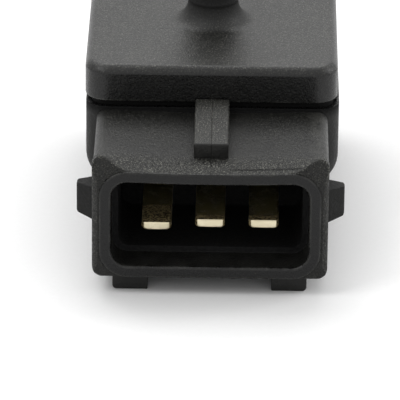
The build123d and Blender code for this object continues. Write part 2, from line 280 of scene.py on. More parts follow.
def make_piece(name: str, sheets: list[Sheet], crease: float = 50.0) -> Object:
    """Mesh object from closed sheets, with faces that point outwards.

    Args:
        name: Name of the piece.
        sheets: Closed surfaces in mm.
        crease: Angle between faces, in degrees, past which an edge is shaded sharp.

    Returns:
        The new object, in the scene.
    """
    places, quads, fans, count = [], [], [], 0
    marks: dict[str, list[np.ndarray]] = {mark: [] for mark in MARKS}
    for sheet in sheets:
        rows, columns = sheet.points.shape[:2]
        flat = sheet.points.reshape(-1, 3)
        for mark, values in marks.items():
            given = sheet.marks.get(mark, np.zeros(rows))
            on_grid = np.broadcast_to(given.reshape(rows, -1), (rows, columns))
            ends = np.zeros(0) if sheet.ring else on_grid[[0, -1]].mean(axis=1)
            values.append(np.concatenate([on_grid.ravel(), ends]))
        if not sheet.ring:
            flat = np.concatenate([flat, sheet.points[[0, -1]].mean(axis=1)])
        four, three = sheet_faces(rows, columns, sheet.ring)
        triangles = np.concatenate([four[:, [0, 1, 2]], four[:, [0, 2, 3]], three])
        if enclosed_volume(flat, triangles) < 0.0:
            four, three = four[:, ::-1], three[:, ::-1]
        places.append(flat)
        quads.append(four + count)
        fans.append(three + count)
        count += len(flat)
    four, three = np.concatenate(quads), np.concatenate(fans)
    mesh = bpy.data.meshes.new(name)
    mesh.vertices.add(count)
    mesh.vertices.foreach_set("co", (np.concatenate(places) * MM).astype(np.float32).ravel())
    mesh.loops.add(four.size + three.size)
    mesh.loops.foreach_set("vertex_index", np.concatenate([four.ravel(), three.ravel()]).astype(np.int32))
    mesh.polygons.add(len(four) + len(three))
    starts = np.concatenate([np.arange(len(four)) * 4, four.size + np.arange(len(three)) * 3])
    mesh.polygons.foreach_set("loop_start", starts.astype(np.int32))
    mesh.polygons.foreach_set("use_smooth", np.ones(len(starts), bool))
    for mark, values in marks.items():
        mesh.attributes.new(mark, "FLOAT", "POINT").data.foreach_set("value", np.concatenate(values).astype(np.float32))
    mesh.update(calc_edges=True)
    mesh.validate()
    mesh.set_sharp_from_angle(angle=math.radians(crease))
    piece = add_object(name, mesh)
    piece.modifiers.new("flat_faces_stay_flat", "WEIGHTED_NORMAL").keep_sharp = True
    return piece


def linear_colour(code: str) -> tuple[float, float, float, float]:
    """Colour in linear light from an sRGB hex code.

    Args:
        code: Six hex digits after a hash sign.

    Returns:
        Red, green, blue and an alpha of one.
    """
    shares = (int(code[place:place + 2], 16) / 255.0 for place in (1, 3, 5))
    red, green, blue = (c / 12.92 if c <= 0.04045 else ((c + 0.055) / 1.055) ** 2.4 for c in shares)
    return red, green, blue, 1.0


def add_node(tree: Tree, kind: str, inputs: dict[str | int, object] | None = None,
             **settings: object) -> bpy.types.Node:
    """Adds one node. An input that is given an output is linked to it, and any other takes the value.

    Args:
        tree: Node tree that gets the node.
        kind: Blender's name of the node type.
        inputs: Value or output for each named or numbered input.
        **settings: Properties of the node.

    Returns:
        The new node.
    """
    node = tree.nodes.new(kind)
    for name, value in settings.items():
        setattr(node, name, value)
    for name, given in (inputs or {}).items():
        if isinstance(given, Socket):
            tree.links.new(given, node.inputs[name])
        else:
            node.inputs[name].default_value = given
    return node


def new_material(name: str) -> tuple[Material, Tree]:
    """Material with an empty node tree, and the tree.

    Args:
        name: Name of the material.

    Returns:
        The material and its tree.
    """
    material = bpy.data.materials.new(name)
    material.use_nodes = True
    material.node_tree.nodes.clear()
    return material, material.node_tree


def add_surface(tree: Tree, height: Socket, distance: float | Socket, inputs: dict[str, object]) -> None:
    """Adds a principled surface with a relief, and leads it to the material's output.

    Args:
        tree: Node tree of the material.
        height: Output with the relief.
        distance: Height of the relief in metres, or an output with it.
        inputs: Inputs of the shader.
    """
    bump = add_node(tree, "ShaderNodeBump", {"Strength": 1.0, "Height": height, "Distance": distance})
    shader = add_node(tree, "ShaderNodeBsdfPrincipled", {**inputs, "Normal": bump.outputs[0]})
    add_node(tree, "ShaderNodeOutputMaterial", {"Surface": shader.outputs[0]})


@dataclass(frozen=True)
class MouldedPolyester:
    """Black glass-filled polyester (PBT), injection moulded in a spark-eroded mould.

    The eroded mould gives a matt grain of a few tenths of a millimetre, coarser round the front of the
    connector, the glass fibres under the skin show as paler specks, white specks also stand in as painted
    glints, lighter edges as painted highlights and near-black places as painted shade, and the broad
    dull sheen comes from a roughness of about a half.

    Attributes:
        name: Name of the material.
        grain: Spacing of the grain.
        colour: Colour of the plastic.
        speck: Colour of the clouds where fibres lie dense.
        salt: Colour of the single pale specks.
        polished_colour: Colour where the mould was polished.
        wear_and_highlight_colour: Colour of rubbed edges, of painted highlights on edges and of painted
            light.
        painted_shade_colour: Colour of painted shade, as at the far end of the cavity.
        specks_and_glints_colour: Colour of the white specks, fibres and painted glints alike.
        roughness: Roughness between the specks.
        roughness_changes: What a mark of the mould, or the dull mark of painted shade, adds to the roughness.
        grain_height: Height of the coarse grain, in mm.
        patchiness: Change of roughness over the grain, from its lowest to its highest points.
        fine_share: Strength of the fine grain, as a share of the coarse one's.
        flow: Scale of the grain along Y, less than one where the melt has drawn it out.
        ior: Index of refraction, lowered for the light that the grain traps.
        parting_x: Where the mould's halves meet and leave a raised line, in mm, or None.
        parting_half: Half width of that line, in mm.
        parting_height: Height of that line, as a share of the grain's.
    """

    name: str
    grain: Grain
    colour: str = "#0d0d0c"
    speck: str = "#191917"
    salt: str = "#282825"
    polished_colour: str = "#0c0c0c"
    wear_and_highlight_colour: str = "#3a3a37"
    painted_shade_colour: str = "#010101"
    specks_and_glints_colour: str = "#a4a49a"
    roughness: float = 0.46
    roughness_changes: tuple[tuple[str, float], ...] = (("polish", -0.16), ("coarse", 0.1), ("dull", 0.54))
    grain_height: float = 0.22
    patchiness: float = 1.25
    fine_share: float = 0.28
    flow: float = 0.7
    ior: float = 1.38
    parting_x: float | None = None
    parting_half: float = 0.06
    parting_height: float = 0.8

    def drawn_noise(self, tree: Tree, spacing: float, detail: float, rough: float) -> Socket:
        """Noise of a given spacing in mm on Object coordinates, drawn out along the flow of the melt.

        Args:
            tree: Node tree that gets the nodes.
            spacing: Spacing in mm.
            detail: Number of finer octaves.
            rough: Strength of each octave as a share of the last.

        Returns:
            The noise's output.
        """
        place = add_node(tree, "ShaderNodeTexCoord").outputs["Object"]
        drawn = add_node(tree, "ShaderNodeMapping", {"Vector": place, "Scale": (1.0, self.flow, 1.0)})
        return add_node(tree, "ShaderNodeTexNoise", {"Vector": drawn.outputs[0], "Scale": 1.0 / (spacing * MM),
                                                     "Detail": detail, "Roughness": rough}).outputs["Fac"]

    def colour_of(self, tree: Tree, marks: dict[str, Socket], strength: Socket) -> Socket:
        """Colour of the plastic: clouds of fibres, single specks, white specks with painted glints, then the
        polished places, rubbed edges with painted highlights, and painted shade.

        Args:
            tree: Node tree that gets the nodes.
            marks: Output of each mark's attribute.
            strength: Strength of the grain.

        Returns:
            The output with the colour.
        """
        clouds = add_node(tree, "ShaderNodeMapRange",
                          {"Value": self.drawn_noise(tree, 3.4, 4.0, 0.55), "From Min": 0.3, "From Max": 0.7})
        colour = add_node(tree, "ShaderNodeMix", {0: clouds.outputs[0], 6: linear_colour(self.colour),
                                                  7: linear_colour(self.speck)}, data_type="RGBA").outputs[2]
        # single fibre ends that reach the skin, about a quarter of a millimetre apart
        ends = add_node(tree, "ShaderNodeMapRange",
                        {"Value": self.drawn_noise(tree, 0.24, 2.0, 0.7), "From Min": 0.47, "From Max": 0.68},
                        interpolation_type="SMOOTHSTEP")
        # white specks, an eighth of a millimetre apart: partly fibres, partly painted glints
        white = add_node(tree, "ShaderNodeMapRange",
                         {"Value": self.drawn_noise(tree, 0.12, 1.0, 0.6), "From Min": 0.55, "From Max": 0.7},
                         interpolation_type="SMOOTHSTEP")
        # rubbed edges and painted highlights, strong in some places and hardly in others, over one or two millimetres
        patches = add_node(tree, "ShaderNodeMapRange",
                           {"Value": self.drawn_noise(tree, 1.3, 4.0, 0.6), "From Min": 0.36, "From Max": 0.62,
                            "To Min": 0.1}, interpolation_type="SMOOTHSTEP")
        # rubbed holds both the rubbed edges and the painted highlights and painted light
        specks, specked_and_glinted, rubbed = (
            add_node(tree, "ShaderNodeMath", {0: pattern.outputs[0], 1: share}, operation="MULTIPLY").outputs[0]
            for pattern, share in ((ends, strength), (white, marks["specks_and_glints"]), (patches, marks["wear_and_highlight"])))
        # painted glints, painted highlights and painted shade laid over the plastic's own colour
        layers = ((specks, self.salt), (specked_and_glinted, self.specks_and_glints_colour), (marks["polish"], self.polished_colour),
                  (rubbed, self.wear_and_highlight_colour), (marks["dull"], self.painted_shade_colour))
        for share, code in layers:
            colour = add_node(tree, "ShaderNodeMix", {0: share, 6: colour, 7: linear_colour(code)},
                              data_type="RGBA").outputs[2]
        return colour

    def parting_line(self, tree: Tree, height: Socket, polish: Socket) -> Socket:
        """Relief with a raised line where the mould's halves meet, except where the mould was polished.

        Args:
            tree: Node tree that gets the nodes.
            height: Relief of the grain.
            polish: Output with the polished places.

        Returns:
            The output with both.
        """
        place = add_node(tree, "ShaderNodeTexCoord").outputs["Object"]
        axes = add_node(tree, "ShaderNodeSeparateXYZ", {0: place})
        off = add_node(tree, "ShaderNodeMath", {0: axes.outputs["X"], 1: self.parting_x * MM}, operation="SUBTRACT")
        away = add_node(tree, "ShaderNodeMath", {0: off.outputs[0]}, operation="ABSOLUTE")
        ridge = add_node(tree, "ShaderNodeMapRange",
                         {"Value": away.outputs[0], "From Min": 0.0, "From Max": self.parting_half * MM,
                          "To Min": self.parting_height, "To Max": 0.0}, interpolation_type="SMOOTHSTEP")
        eroded = add_node(tree, "ShaderNodeMath", {0: 1.0, 1: polish}, operation="SUBTRACT")
        return add_node(tree, "ShaderNodeMath", {0: ridge.outputs[0], 1: eroded.outputs[0], 2: height},
                        operation="MULTIPLY_ADD").outputs[0]

    def make(self) -> Material:
        """Builds the material: grain, specks and the parting line, all on Object coordinates.

        Returns:
            The material.
        """
        material, tree = new_material(self.name)
        marks = {mark: add_node(tree, "ShaderNodeAttribute", attribute_name=mark).outputs["Fac"] for mark in MARKS}
        strength = add_node(tree, "ShaderNodeMapRange",
                            {"Value": marks["coarse"], "To Min": self.fine_share, "To Max": 1.0}).outputs[0]
        height = self.drawn_noise(tree, self.grain.value, 2.0, 0.62)
        patches = self.drawn_noise(tree, self.grain.value * 1.2, 1.0, 0.5)
        spread = add_node(tree, "ShaderNodeMath", {0: patches, 1: -0.5}, operation="ADD")
        change = add_node(tree, "ShaderNodeMath", {0: spread.outputs[0], 1: strength}, operation="MULTIPLY")
        dull = add_node(tree, "ShaderNodeMath", {0: change.outputs[0], 1: self.patchiness, 2: self.roughness},
                        operation="MULTIPLY_ADD").outputs[0]
        for mark, added in self.roughness_changes:
            dull = add_node(tree, "ShaderNodeMath", {0: marks[mark], 1: added, 2: dull},
                            operation="MULTIPLY_ADD").outputs[0]
        if self.parting_x is not None:
            height = self.parting_line(tree, height, marks["polish"])
        relief = add_node(tree, "ShaderNodeMath", {0: strength, 1: self.grain_height * MM}, operation="MULTIPLY")
        add_surface(tree, height, relief.outputs[0], {
            "IOR": self.ior, "Base Color": self.colour_of(tree, marks, strength), "Roughness": dull})
        return material


@dataclass(frozen=True)
class TinnedBrass:
    """Brass strip, tin plated, stamped and lightly tarnished.

    The plating gives a pale gold mirror on the end of a blade, its tarnish brown clouds and pits, and
    the rolling fine lines along the blade. The tip that a plug has rubbed is matt and paler.

    Attributes:
        name: Name of the material.
        bright: Colour of the clean plating.
        tarnish: Colour of the tarnish.
        rubbed: Colour of the rubbed tip.
        pitted: Colour of the pits in the rubbed tip.
        roughness: Roughness of the clean plating.
        tarnished_more: Roughness that full tarnish adds.
        rubbed_more: Roughness that rubbing adds.
        cleaned: Share of the tarnish that stays on clean places.
        relief: Height of pits and rolling lines together, in mm.
    """

    name: str
    bright: str = "#e6dcc0"
    tarnish: str = "#9a8f62"
    rubbed: str = "#938564"
    pitted: str = "#2b2316"
    roughness: float = 0.26
    tarnished_more: float = 0.26
    rubbed_more: float = 0.35
    cleaned: float = 0.2
    relief: float = 0.004

    def make(self) -> Material:
        """Builds the material: tarnish clouds, pits and rolling lines on Object coordinates.

        Returns:
            The material.
        """
        material, tree = new_material(self.name)
        place = add_node(tree, "ShaderNodeTexCoord").outputs["Object"]
        clouds = add_node(tree, "ShaderNodeTexNoise", {"Vector": place, "Scale": 1.0 / (1.1 * MM), "Detail": 3.0,
                                                       "Roughness": 0.5, "Distortion": 0.3}).outputs["Fac"]
        pits = add_node(tree, "ShaderNodeTexNoise",
                        {"Vector": place, "Scale": 1.0 / (0.19 * MM), "Detail": 2.0}).outputs["Fac"]
        # rolling lines: noise drawn out along the blade
        drawn = add_node(tree, "ShaderNodeMapping", {"Vector": place, "Scale": (1.0, 0.06, 1.0)}).outputs[0]
        lines = add_node(tree, "ShaderNodeTexNoise",
                         {"Vector": drawn, "Scale": 1.0 / (0.12 * MM), "Detail": 2.0}).outputs["Fac"]
        clean, wear_and_highlight = (add_node(tree, "ShaderNodeAttribute", attribute_name=mark).outputs["Fac"]
                       for mark in ("polish", "wear_and_highlight"))
        exposed = add_node(tree, "ShaderNodeMapRange",
                           {"Value": clean, "To Min": 1.0, "To Max": self.cleaned}).outputs[0]
        dirt, pitted, scuffed = (
            add_node(tree, "ShaderNodeMapRange", {"Value": value, "From Min": start, "From Max": end, "To Min": low,
                                                  "To Max": high}, interpolation_type="SMOOTHSTEP").outputs[0]
            for value, start, end, low, high in ((clouds, 0.25, 0.6, 0.3, 1.0), (pits, 0.5, 0.66, 0.0, 0.5),
                                                 (pits, 0.46, 0.54, 1.0, 0.1)))
        soiled = add_node(tree, "ShaderNodeMath", {0: dirt, 1: pitted}, operation="ADD", use_clamp=True).outputs[0]
        tarnished = add_node(tree, "ShaderNodeMath", {0: soiled, 1: exposed}, operation="MULTIPLY").outputs[0]
        # the rubbed tip stays dark in its pits
        tip = add_node(tree, "ShaderNodeMath", {0: scuffed, 1: wear_and_highlight}, operation="MULTIPLY").outputs[0]
        colour = linear_colour(self.bright)
        for share, code in ((tarnished, self.tarnish), (wear_and_highlight, self.pitted), (tip, self.rubbed)):
            colour = add_node(tree, "ShaderNodeMix", {0: share, 6: colour, 7: linear_colour(code)},
                              data_type="RGBA").outputs[2]
        rough = add_node(tree, "ShaderNodeMapRange", {"Value": tarnished, "To Min": self.roughness,
                                                      "To Max": self.roughness + self.tarnished_more}).outputs[0]
        dull = add_node(tree, "ShaderNodeMath", {0: tip, 1: self.rubbed_more, 2: rough},
                        operation="MULTIPLY_ADD").outputs[0]
        height = add_node(tree, "ShaderNodeMath", {0: lines, 1: pits}, operation="ADD").outputs[0]
        add_surface(tree, height, self.relief * MM, {"Metallic": 1.0, "Base Color": colour, "Roughness": dull})
        return material


@dataclass(frozen=True)
class InnerFinish:
    """Finish of a small part inside the chamber: a colour with clouds, specks and a slight relief.

    Attributes:
        name: Name of the material.
        colour: Main colour.
        second: Colour of the clouds or specks.
        spacing: Spacing of the specks, in mm.
        roughness: Roughness of the surface.
        relief: Height of the relief, in mm.
        metallic: 1 for a metal.
        ior: Index of refraction.
        transmission: Share of the light that passes through.
        speck_more: Roughness that a speck adds.
    """

    name: str
    colour: str
    second: str
    spacing: float
    roughness: float
    relief: float = 0.004
    metallic: float = 0.0
    ior: float = 1.5
    transmission: float = 0.0
    speck_more: float = 0.12

    def make(self) -> Material:
        """Builds the material on Object coordinates.

        Returns:
            The material.
        """
        material, tree = new_material(self.name)
        place = add_node(tree, "ShaderNodeTexCoord").outputs["Object"]
        specks = add_node(tree, "ShaderNodeTexNoise", {"Vector": place, "Scale": 1.0 / (self.spacing * MM),
                                                       "Detail": 4.0, "Roughness": 0.6}).outputs["Fac"]
        share = add_node(tree, "ShaderNodeMapRange", {"Value": specks, "From Min": 0.35, "From Max": 0.7},
                         interpolation_type="SMOOTHSTEP").outputs[0]
        colour = add_node(tree, "ShaderNodeMix", {0: share, 6: linear_colour(self.colour),
                                                  7: linear_colour(self.second)}, data_type="RGBA").outputs[2]
        dull = add_node(tree, "ShaderNodeMapRange", {"Value": share, "To Min": self.roughness,
                                                     "To Max": min(self.roughness + self.speck_more, 1.0)})
        add_surface(tree, specks, self.relief * MM, {
            "Metallic": self.metallic, "IOR": self.ior, "Transmission Weight": self.transmission,
            "Base Color": colour, "Roughness": dull.outputs[0]})
        return material


def dress(piece: Object, material: Material) -> None:
    """Gives every face of a piece one material."""
    piece.data.materials.clear()
    piece.data.materials.append(material)


def stand_for(piece: Object, node: str) -> Object:
    """Lets a new piece take the place of a CAD node.

    Args:
        piece: The new piece.
        node: Name of the CAD node that it stands for.

    Returns:
        The piece.
    """
    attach(piece, "root")
    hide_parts(node)
    return piece


@dataclass
class Shroud:
    """Connector shroud: block, bowed roof, corner posts, collar, seal pocket and cavity in one skin."""

    levels: Levels
    half_width: float = 11.015
    corner: float = 1.0
    length: float = 14.2
    inside_body: float = 0.95
    mouth_half: float = 9.225
    mouth_bottom: float = 2.92
    mouth_top: float = 11.52
    mouth_sag: float = 0.2
    mouth_corner: float = 1.6
    collar_wall: float = 1.12
    collar_proud: float = 0.15
    mouth_round: float = 0.26
    front_round: float = 0.1
    side_round: float = 0.5
    side_flatness: float = 0.6
    # the wide rounding starts this far inside the flank, grows over the next value and ends this far from the
    # corners; an edge is drawn in fully where the collar leaves it this many radii of room
    side_zone: float = 0.12
    side_zone_blend: float = 0.1
    side_zone_end: float = 1.2
    edge_room: float = 1.2
    roof_half: float = 8.0
    roof_end_slope: float = 0.76
    roof_blend: float = 0.35
    post_length: float = 0.7
    post_slope: float = 2.0
    post_blend: float = 0.35
    slope_length: float = 0.35
    pocket_depth: float = 3.4
    pocket_round: float = 0.12
    shoulder: float = 0.58
    shoulder_round: float = 0.1
    cavity_depth: float = 12.65
    cavity_round: float = 0.2
    # depths of the rows behind the coarse front, and the number of rows in it
    rear_depths: tuple[float, ...] = (10.5, 7.5, 5.5, 5.0, 4.5, 4.0)
    coarse_rows: int = 52
    edges: tuple[int, int] = (90, 14)
    per_corner: int = 34
    collar_steps: int = 8
    mouth_steps: int = 6
    # coarse grain near the front, and where white specks show in it: fibres and painted glints, more on the roof than
    # on the sides and the front face
    coarse_depth: float = 3.5
    coarse_blend: float = 1.0
    rear_specks_and_glints: float = 0.2
    top_specks_and_glints: float = 0.46
    side_specks_and_glints: float = 0.15
    face_rows: int = 4
    face_specks_and_glints: float = 0.25
    # painted highlights on the collar's outer edge, on the mouth's edge and along the roof's rounded sides, lighter on
    # the right, and painted light in the pocket
    collar_edge_highlight: float = 0.45
    mouth_edge_highlight: float = 0.5
    pocket_painted_light: float = 0.2
    pocket_matt: float = 0.6
    side_highlight: float = 0.6
    side_highlight_left: float = 0.3
    side_highlight_start: float = 9.3
    side_highlight_blend: float = 1.4
    # dark line across the roof's right half, near black and rougher: depth, half width, strength, and where it starts
    # and ends
    dark_line: float = 1.2
    dark_line_half: float = 0.2
    dark_line_strength: float = 0.8
    dark_line_start: float = 1.4
    dark_line_start_blend: float = 0.6
    dark_line_end: float = 9.4
    dark_line_end_blend: float = 1.5

    def block_loop(self, top: float) -> np.ndarray:
        """Outline of the plain block in X and Z, matched point for point to the collar's.

        Formula: each corner stretch runs from where the collar's corner arc starts to where it ends,
        at even steps along a straight, a quarter circle and a straight.

        Args:
            top: Level of the block's top.

        Returns:
            Points by two.
        """
        reach = self.mouth_corner + self.collar_wall
        side = self.mouth_half + self.collar_wall - reach
        low, high = self.mouth_bottom - self.collar_wall + reach, self.mouth_top + self.collar_wall - reach
        base, radius = self.levels.base, self.corner
        stretches = []
        for level, edge, hand in ((base, low, 1), (top, high, 1), (top, high, -1), (base, low, -1)):
            flat = self.half_width - radius - side
            upright = abs(edge - level) - radius
            arc = radius * math.pi / 2
            run = np.linspace(0.0, flat + arc + upright, self.per_corner)
            turn = np.clip((run - flat) / radius, 0.0, math.pi / 2)
            out = side + np.minimum(run, flat) + radius * np.sin(turn)
            rise = radius * (1.0 - np.cos(turn)) + np.maximum(run - flat - arc, 0.0)
            stretch = np.stack([hand * out, level + math.copysign(1.0, edge - level) * rise], axis=1)
            stretches.append(stretch if (hand > 0) == (level == base) else stretch[::-1])
        return join_stretches(stretches, self.edges)

    def mouth_loop(self, offset: float) -> np.ndarray:
        """Outline of the mouth in X and Z, moved outwards by an offset.

        Formula: a rounded rectangle whose upper half is lowered by sag x (1 - (x / half width) squared).

        Args:
            offset: Distance outwards, less than zero for inwards.

        Returns:
            Points by two.
        """
        radii = (self.mouth_corner + offset,) * 4
        loop = rounded_loop((-self.mouth_half - offset, self.mouth_bottom - offset),
                            (self.mouth_half + offset, self.mouth_top + offset), radii, self.edges, self.per_corner)
        upper = loop[:, 1] > (self.mouth_bottom + self.mouth_top) / 2
        loop[:, 1] -= self.mouth_sag * held(1.0 - (loop[:, 0] / self.mouth_half) ** 2) * upper
        return loop

    def outline_at(self, depth: float) -> np.ndarray:
        """Outline of the shroud at a depth behind its rim, with its bowed roof and corner posts.

        Formula: the roof is the greater of the collar's bowed top and a slope that rises towards each
        post, and the block is cut down to it. The block's own top falls from the posts to the roof by
        s x s x (3 - 2 x s), with s the share of the slope behind the posts, and the rising slope falls
        away behind its front edge at an even rate.

        Args:
            depth: Depth behind the rim.

        Returns:
            Points by two.
        """
        collar_top, proud = self.mouth_top + self.collar_wall, self.collar_proud
        share = float(held(depth - proud - self.post_length, self.post_slope))
        fall = (self.levels.post_top - collar_top) * share * share * (3.0 - 2.0 * share)
        loop = self.block_loop(self.levels.post_top - fall)
        across, level = np.abs(loop[:, 0]), loop[:, 1]
        bowed = collar_top - self.mouth_sag * (1.0 - (across / self.roof_half) ** 2)
        lowered = (self.levels.post_top - collar_top) / self.post_slope * max(depth - proud - self.slope_length, 0.0)
        ends = collar_top + (across - self.roof_half) * self.roof_end_slope - lowered
        roof = -smooth_least(-bowed, -ends, self.roof_blend)
        upper = level > (self.mouth_bottom + self.mouth_top) / 2
        blend = self.post_blend * (1.0 - share)
        cut = smooth_least(level, roof, blend) if blend > 0.01 else np.minimum(level, roof)
        loop[:, 1] = np.where(upper, cut, level)
        return loop

    def outside_rows(self, plain: np.ndarray) -> list[np.ndarray]:
        """Rows of the outside, from within the body forward and round the front edge.

        Formula: a front edge of radius r runs back by r x (1 - sin a) and inwards by r x (1 - cos a),
        part way towards the straight line across it at the sides, where r is greatest. The rows
        behind it are spread so that the last one stands where the edge begins.

        Args:
            plain: Outline at the front edge.

        Returns:
            The rows.
        """
        front, proud = self.levels.front, self.collar_proud
        depths = (self.length + self.inside_body, self.length, *self.rear_depths, self.coarse_depth)
        rows = [upright_row(self.outline_at(depth), front + depth) for depth in depths]
        across, level = np.abs(plain[:, 0]), plain[:, 1]
        wide = (held(across - self.half_width + self.side_zone, self.side_zone_blend)
                * held(self.mouth_top + self.collar_wall - level, self.side_zone_end)
                * held(level - self.levels.base, self.side_zone_end))
        radius = self.front_round + (self.side_round - self.front_round) * wide
        reach = self.coarse_depth - proud
        for depth in np.linspace(self.coarse_depth - 0.06, proud + self.front_round, self.coarse_rows):
            share = (self.coarse_depth - depth) / (reach - self.front_round)
            rows.append(upright_row(self.outline_at(float(depth)),
                                    front + self.coarse_depth - share * (reach - radius)))
        # an edge draws in only as far as the collar leaves it room
        room = np.linalg.norm(plain - self.mouth_loop(self.collar_wall), axis=1)
        free = held(room, self.edge_room * radius)
        for back, inwards in flattened_rounding(radius, 8, self.side_flatness * wide)[1:]:
            rows.append(upright_row(inset_loop(plain, inwards * free), front + proud + back))
        return rows

    def marks(self, plain: np.ndarray, behind: np.ndarray, eroded: int, inner: int,
              cavity: int) -> dict[str, np.ndarray]:
        """How finish, painted highlights, painted glints and painted shade vary over the skin.

        Formula: the dark line is a bell curve of the depth, exp(-((depth - line) / half width) squared).

        Args:
            plain: Outline at the front edge.
            behind: Depth of each row behind the rim.
            eroded: First row of the polished collar.
            inner: First row of the pocket.
            cavity: First row of the cavity.

        Returns:
            Values for each mark.
        """
        number = np.arange(len(behind))
        outside, pocket = number < eroded, (number >= inner) & (number < cavity)
        sides = number < eroded - self.face_rows
        across, level = plain[:, 0], plain[:, 1]
        on_top = level > self.mouth_top + self.collar_wall - 2.0 * self.mouth_sag
        coarse = held(self.coarse_depth + self.coarse_blend - behind, 2.0 * self.coarse_blend) * outside
        specks_and_glints = np.where(on_top, self.top_specks_and_glints, self.side_specks_and_glints) * (
            self.rear_specks_and_glints + (1.0 - self.rear_specks_and_glints) * coarse[:, None])
        specks_and_glints = specks_and_glints * (np.where(sides, 1.0, self.face_specks_and_glints) * outside)[:, None]
        bell = np.exp(-(((behind - self.dark_line) / self.dark_line_half) ** 2)) * outside
        right_half = held(across - self.dark_line_start, self.dark_line_start_blend) * held(
            self.dark_line_end - across, self.dark_line_end_blend)
        wear_and_highlight = (self.collar_edge_highlight * ((number >= eroded) & (number < eroded + self.collar_steps - 1))
                + self.mouth_edge_highlight * ((number > inner - self.mouth_steps) & (number < inner))
                + self.pocket_painted_light * pocket)
        beside_roof = held(np.abs(across) - self.side_highlight_start, self.side_highlight_blend) * (level > self.mouth_top)
        hand = np.where(across > 0.0, 1.0, self.side_highlight_left)
        # painted highlights on the edges and painted light in the pocket; painted shade from the shoulder to the
        # cavity's end, and the dark line across the roof
        return {"polish": ~outside - self.pocket_matt * pocket, "coarse": coarse, "specks_and_glints": specks_and_glints,
                "wear_and_highlight": wear_and_highlight[:, None] + self.side_highlight * sides[:, None] * (beside_roof * hand),
                "dull": (number >= cavity)[:, None] + self.dark_line_strength * bell[:, None] * (right_half * on_top)}

    def surface(self) -> Sheet:
        """Skin from inside the body forward over the front edge, over the collar and into the cavity.

        Returns:
            The closed sheet.
        """
        front, proud = self.levels.front, self.collar_proud
        pocket, cavity_end = self.pocket_depth, self.cavity_depth
        plain = self.outline_at(proud)
        rows = self.outside_rows(plain)
        rows += between(rows[-1], upright_row(self.mouth_loop(self.collar_wall), front + proud), (0.08, 0.5, 0.92, 1.0))
        eroded = len(rows)
        rows += [upright_row(self.mouth_loop(self.collar_wall - inwards), front + back)
                 for back, inwards in rounding(proud, self.collar_steps)[1:]]
        rows += between(rows[-1], upright_row(self.mouth_loop(self.mouth_round), front), (0.06, 0.5, 0.94, 1.0))
        # from here each row is an offset of the mouth's outline at a depth
        inside = rounding(self.mouth_round, self.mouth_steps)[1:]
        inner = len(rows) + len(inside)
        inside += [(0.0, depth) for depth in (0.3, 1.2, 2.4, pocket - 0.2)]
        inside += [(-inwards, pocket - before) for before, inwards in rounding(self.pocket_round, 4)]
        cavity = len(rows) + len(inside) - 2
        inside += [(out - self.shoulder, pocket + back) for out, back in rounding(self.shoulder_round, 5)]
        inside += [(-self.shoulder, depth) for depth in (pocket + 0.3, 6.0, 9.0, cavity_end - 0.3)]
        inside += [(-self.shoulder - inwards, cavity_end - before)
                   for before, inwards in rounding(self.cavity_round, 4)]
        rows += [upright_row(self.mouth_loop(offset), front + depth) for offset, depth in inside]
        behind = np.array([row[:, 1].mean() for row in rows]) - front
        return Sheet(np.stack(rows), marks=self.marks(plain, behind, eroded, inner, cavity))


